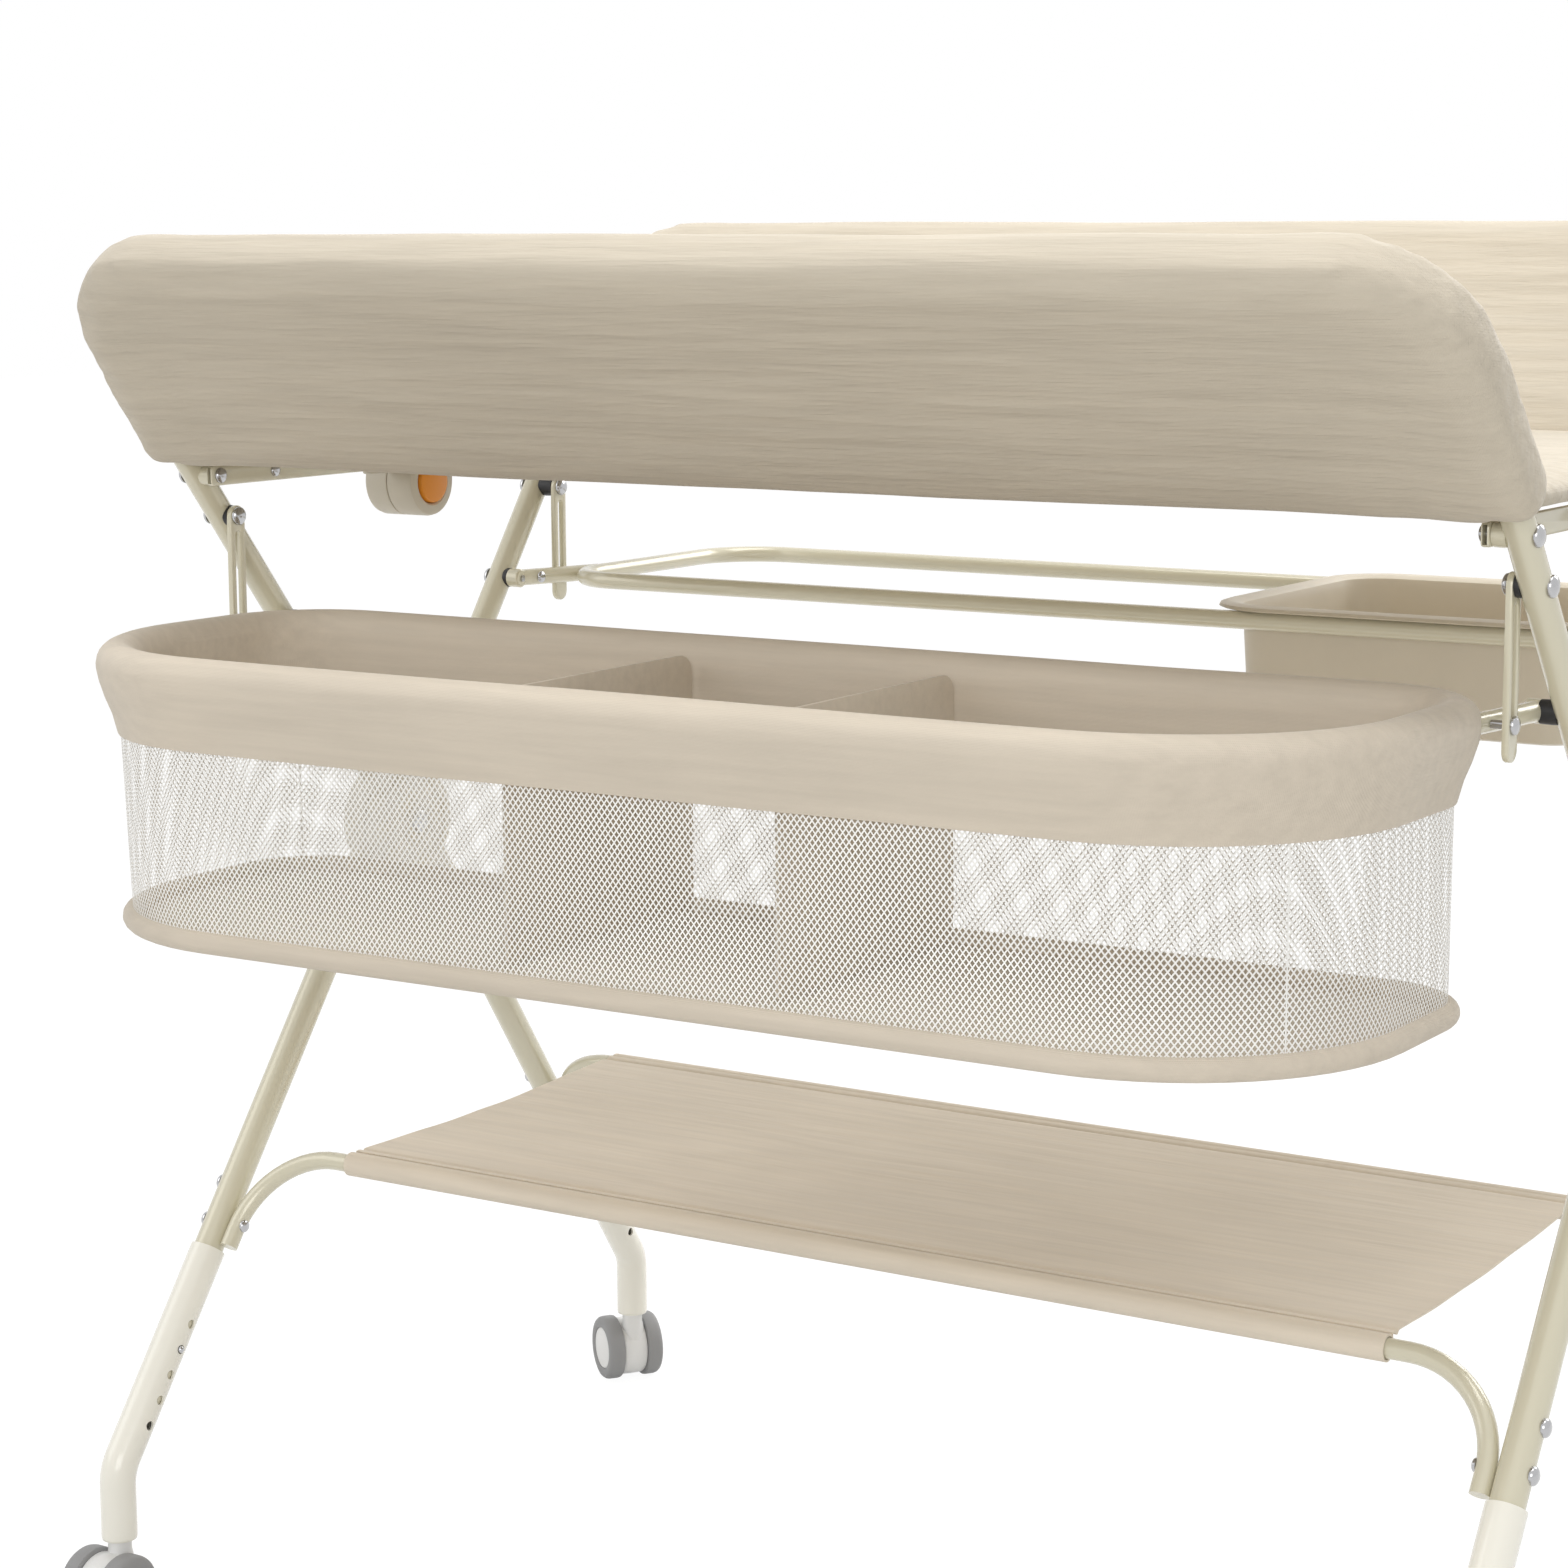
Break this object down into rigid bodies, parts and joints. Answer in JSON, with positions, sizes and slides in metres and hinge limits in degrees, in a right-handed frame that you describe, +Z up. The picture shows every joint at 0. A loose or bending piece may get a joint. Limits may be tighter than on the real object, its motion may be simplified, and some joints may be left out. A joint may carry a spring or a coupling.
{
  "type": "folding changing table",
  "caption": "Crossed-tube folding changing table with a padded trough bed, front basket, back rack with a lift-off bin, cloth shelf and telescoping feet on swivel casters.",
  "frame": {"origin": "centre of the standing area, on the floor under the middle of the table", "axes": "+X along the bed to the end with the bin, +Y to the back with the rack, +Z up"},
  "size_m": [0.9866, 0.7998, 0.9145],
  "materials": {
    "frame_lacquer": "gloss olive-cream lacquer",
    "foot_lacquer": "gloss cream lacquer",
    "plastic_beige": "fine matt",
    "fabric_beige": "woven cloth over padding",
    "basket_fabric": "woven band and open mesh",
    "tyre_grey": "smooth",
    "plastic_white": "semi-gloss",
    "plastic_orange": "semi-gloss",
    "plated_steel": "bright plating"
  },
  "bodies": {
    "front_frame": {"front_hoop": "frame_lacquer", "leg_back_left": "frame_lacquer", "leg_back_right": "frame_lacquer", "hub_inner_left": "plastic_beige", "hub_inner_right": "plastic_beige", "shelf_tube_back": "frame_lacquer", "front_guard": "fabric_beige", "bed_base": "fabric_beige", "shelf_cloth": "fabric_beige"},
    "back_frame": {"back_hoop": "frame_lacquer", "leg_front_left": "frame_lacquer", "leg_front_right": "frame_lacquer", "hub_outer_left": "plastic_beige", "hub_outer_right": "plastic_beige", "shelf_tube_front": "frame_lacquer", "back_guard": "fabric_beige"},
    "basket": {"basket_frame": "frame_lacquer", "basket_cloth": "basket_fabric", "basket_divider_left": "basket_fabric", "basket_divider_right": "basket_fabric"},
    "rack": {"rack_frame": "frame_lacquer"},
    "bin": {"bin": "plastic_beige"},
    "strut_front_left": {"strut_front_left": "frame_lacquer", "lock_inner_left": "plastic_beige"},
    "strut_back_left": {"strut_back_left": "frame_lacquer", "lock_outer_left": "plastic_beige"},
    "lock_button_left": {"lock_button_left": "plastic_orange"},
    "stay_front_left": {"stay_front_left": "frame_lacquer"},
    "stay_back_left": {"stay_back_left": "frame_lacquer"},
    "strut_front_right": {"strut_front_right": "frame_lacquer", "lock_inner_right": "plastic_beige"},
    "strut_back_right": {"strut_back_right": "frame_lacquer", "lock_outer_right": "plastic_beige"},
    "lock_button_right": {"lock_button_right": "plastic_orange"},
    "stay_front_right": {"stay_front_right": "frame_lacquer"},
    "stay_back_right": {"stay_back_right": "frame_lacquer"},
    "foot_front_left": {"foot_front_left": "foot_lacquer"},
    "snap_button_front_left": {"snap_button_front_left": "plated_steel"},
    "caster_front_left": {"caster_front_left": "plastic_white"},
    "wheel_front_left_a": {"wheel_front_left_a": "tyre_grey"},
    "wheel_front_left_b": {"wheel_front_left_b": "tyre_grey"},
    "brake_front_left": {"brake_front_left": "plastic_white"},
    "foot_front_right": {"foot_front_right": "foot_lacquer"},
    "snap_button_front_right": {"snap_button_front_right": "plated_steel"},
    "caster_front_right": {"caster_front_right": "plastic_white"},
    "wheel_front_right_a": {"wheel_front_right_a": "tyre_grey"},
    "wheel_front_right_b": {"wheel_front_right_b": "tyre_grey"},
    "brake_front_right": {"brake_front_right": "plastic_white"},
    "foot_back_left": {"foot_back_left": "foot_lacquer"},
    "snap_button_back_left": {"snap_button_back_left": "plated_steel"},
    "caster_back_left": {"caster_back_left": "plastic_white"},
    "wheel_back_left_a": {"wheel_back_left_a": "tyre_grey"},
    "wheel_back_left_b": {"wheel_back_left_b": "tyre_grey"},
    "foot_back_right": {"foot_back_right": "foot_lacquer"},
    "snap_button_back_right": {"snap_button_back_right": "plated_steel"},
    "caster_back_right": {"caster_back_right": "plastic_white"},
    "wheel_back_right_a": {"wheel_back_right_a": "tyre_grey"},
    "wheel_back_right_b": {"wheel_back_right_b": "tyre_grey"}
  },
  "joints": [
    {"name": "fold", "type": "hinge", "parent": "front_frame", "child": "back_frame", "pos_m": [0, 0.0109, 0.493], "axis": [1, 0, 0], "range_deg": [0, 50], "deforming": ["bed_base", "shelf_cloth"]},
    {"name": "basket_fold", "type": "hinge", "parent": "front_frame", "child": "basket", "pos_m": [0, -0.11156, 0.648], "axis": [1, 0, 0], "range_deg": [-33, 0]},
    {"name": "rack_fold", "type": "hinge", "parent": "back_frame", "child": "rack", "pos_m": [0, 0.1408, 0.654], "axis": [1, 0, 0], "range_deg": [0, 35]},
    {"name": "bin_lift", "type": "slide", "parent": "rack", "child": "bin", "axis": [0, 0, 1], "range_m": [0, 0.022]},
    {"name": "strut_front_left_pivot", "type": "hinge", "parent": "front_frame", "child": "strut_front_left", "pos_m": [-0.4345, -0.19346, 0.7506], "axis": [1, 0, 0], "range_deg": [0, 97.4]},
    {"name": "strut_back_left_pivot", "type": "hinge", "parent": "back_frame", "child": "strut_back_left", "pos_m": [-0.442, 0.20996, 0.7506], "axis": [1, 0, 0], "range_deg": [-98.9, 0]},
    {"name": "lock_button_left_press", "type": "slide", "parent": "strut_front_left", "child": "lock_button_left", "axis": [-1, 0, 0], "range_m": [0, 0.004], "stiffness_N_per_m": 600, "springref_m": -0.002},
    {"name": "stay_front_left_pivot", "type": "hinge", "parent": "front_frame", "child": "stay_front_left", "pos_m": [-0.432, -0.1661, 0.71633], "axis": [1, 0, 0], "range_deg": [0, 14.3]},
    {"name": "stay_back_left_pivot", "type": "hinge", "parent": "back_frame", "child": "stay_back_left", "pos_m": [-0.432, 0.1819, 0.71141], "axis": [1, 0, 0], "range_deg": [-12.4, 0]},
    {"name": "strut_front_right_pivot", "type": "hinge", "parent": "front_frame", "child": "strut_front_right", "pos_m": [0.4345, -0.19346, 0.7506], "axis": [1, 0, 0], "range_deg": [0, 97.4]},
    {"name": "strut_back_right_pivot", "type": "hinge", "parent": "back_frame", "child": "strut_back_right", "pos_m": [0.442, 0.20996, 0.7506], "axis": [1, 0, 0], "range_deg": [-98.9, 0]},
    {"name": "lock_button_right_press", "type": "slide", "parent": "strut_front_right", "child": "lock_button_right", "axis": [1, 0, 0], "range_m": [0, 0.004], "stiffness_N_per_m": 600, "springref_m": -0.002},
    {"name": "stay_front_right_pivot", "type": "hinge", "parent": "front_frame", "child": "stay_front_right", "pos_m": [0.432, -0.1661, 0.71633], "axis": [1, 0, 0], "range_deg": [0, 14.3]},
    {"name": "stay_back_right_pivot", "type": "hinge", "parent": "back_frame", "child": "stay_back_right", "pos_m": [0.432, 0.1819, 0.71141], "axis": [1, 0, 0], "range_deg": [-12.4, 0]},
    {"name": "foot_front_left_slide", "type": "slide", "parent": "back_frame", "child": "foot_front_left", "axis": [0, -0.5962, -0.8028], "range_m": [0, 0.018], "deforming": ["snap_button_front_left"]},
    {"name": "snap_button_front_left_press", "type": "slide", "parent": "back_frame", "child": "snap_button_front_left", "axis": [-1, 0, 0], "range_m": [0, 0.0035], "stiffness_N_per_m": 400, "springref_m": -0.002},
    {"name": "caster_front_left_swivel", "type": "hinge", "parent": "foot_front_left", "child": "caster_front_left", "pos_m": [-0.46, -0.29119, 0.0555], "axis": [0, 0, 1], "continuous": true},
    {"name": "wheel_front_left_a_roll", "type": "hinge", "parent": "caster_front_left", "child": "wheel_front_left_a", "pos_m": [-0.46, -0.30319, 0.025], "axis": [1, 0, 0], "continuous": true},
    {"name": "wheel_front_left_b_roll", "type": "hinge", "parent": "caster_front_left", "child": "wheel_front_left_b", "pos_m": [-0.46, -0.30319, 0.025], "axis": [1, 0, 0], "continuous": true},
    {"name": "brake_front_left_press", "type": "hinge", "parent": "caster_front_left", "child": "brake_front_left", "pos_m": [-0.46, -0.31519, 0.0365], "axis": [1, 0, 0], "range_deg": [0, 12]},
    {"name": "foot_front_right_slide", "type": "slide", "parent": "back_frame", "child": "foot_front_right", "axis": [0, -0.5962, -0.8028], "range_m": [0, 0.018], "deforming": ["snap_button_front_right"]},
    {"name": "snap_button_front_right_press", "type": "slide", "parent": "back_frame", "child": "snap_button_front_right", "axis": [1, 0, 0], "range_m": [0, 0.0035], "stiffness_N_per_m": 400, "springref_m": -0.002},
    {"name": "caster_front_right_swivel", "type": "hinge", "parent": "foot_front_right", "child": "caster_front_right", "pos_m": [0.46, -0.29119, 0.0555], "axis": [0, 0, 1], "continuous": true},
    {"name": "wheel_front_right_a_roll", "type": "hinge", "parent": "caster_front_right", "child": "wheel_front_right_a", "pos_m": [0.46, -0.30319, 0.025], "axis": [1, 0, 0], "continuous": true},
    {"name": "wheel_front_right_b_roll", "type": "hinge", "parent": "caster_front_right", "child": "wheel_front_right_b", "pos_m": [0.46, -0.30319, 0.025], "axis": [1, 0, 0], "continuous": true},
    {"name": "brake_front_right_press", "type": "hinge", "parent": "caster_front_right", "child": "brake_front_right", "pos_m": [0.46, -0.31519, 0.0365], "axis": [1, 0, 0], "range_deg": [0, 12]},
    {"name": "foot_back_left_slide", "type": "slide", "parent": "front_frame", "child": "foot_back_left", "axis": [0, 0.565, -0.8251], "range_m": [0, 0.018], "deforming": ["snap_button_back_left"]},
    {"name": "snap_button_back_left_press", "type": "slide", "parent": "front_frame", "child": "snap_button_back_left", "axis": [-1, 0, 0], "range_m": [0, 0.0035], "stiffness_N_per_m": 400, "springref_m": -0.002},
    {"name": "caster_back_left_swivel", "type": "hinge", "parent": "foot_back_left", "child": "caster_back_left", "pos_m": [-0.452, 0.28735, 0.0555], "axis": [0, 0, 1], "continuous": true},
    {"name": "wheel_back_left_a_roll", "type": "hinge", "parent": "caster_back_left", "child": "wheel_back_left_a", "pos_m": [-0.46183, 0.29423, 0.025], "axis": [-0.5736, -0.8192, 0], "continuous": true},
    {"name": "wheel_back_left_b_roll", "type": "hinge", "parent": "caster_back_left", "child": "wheel_back_left_b", "pos_m": [-0.46183, 0.29423, 0.025], "axis": [-0.5736, -0.8192, 0], "continuous": true},
    {"name": "foot_back_right_slide", "type": "slide", "parent": "front_frame", "child": "foot_back_right", "axis": [0, 0.565, -0.8251], "range_m": [0, 0.018], "deforming": ["snap_button_back_right"]},
    {"name": "snap_button_back_right_press", "type": "slide", "parent": "front_frame", "child": "snap_button_back_right", "axis": [1, 0, 0], "range_m": [0, 0.0035], "stiffness_N_per_m": 400, "springref_m": -0.002},
    {"name": "caster_back_right_swivel", "type": "hinge", "parent": "foot_back_right", "child": "caster_back_right", "pos_m": [0.452, 0.28735, 0.0555], "axis": [0, 0, 1], "continuous": true},
    {"name": "wheel_back_right_a_roll", "type": "hinge", "parent": "caster_back_right", "child": "wheel_back_right_a", "pos_m": [0.46183, 0.29423, 0.025], "axis": [-0.5736, 0.8192, 0], "continuous": true},
    {"name": "wheel_back_right_b_roll", "type": "hinge", "parent": "caster_back_right", "child": "wheel_back_right_b", "pos_m": [0.46183, 0.29423, 0.025], "axis": [-0.5736, 0.8192, 0], "continuous": true}
  ],
  "couplings": [
    {"joint": "strut_front_left_pivot", "follows": "fold", "ratio": 1.947},
    {"joint": "strut_back_left_pivot", "follows": "fold", "ratio": -1.976},
    {"joint": "stay_front_left_pivot", "follows": "basket_fold", "ratio": -0.431},
    {"joint": "stay_back_left_pivot", "follows": "rack_fold", "ratio": -0.352},
    {"joint": "strut_front_right_pivot", "follows": "fold", "ratio": 1.947},
    {"joint": "strut_back_right_pivot", "follows": "fold", "ratio": -1.976},
    {"joint": "stay_front_right_pivot", "follows": "basket_fold", "ratio": -0.431},
    {"joint": "stay_back_right_pivot", "follows": "rack_fold", "ratio": -0.352}
  ]
}
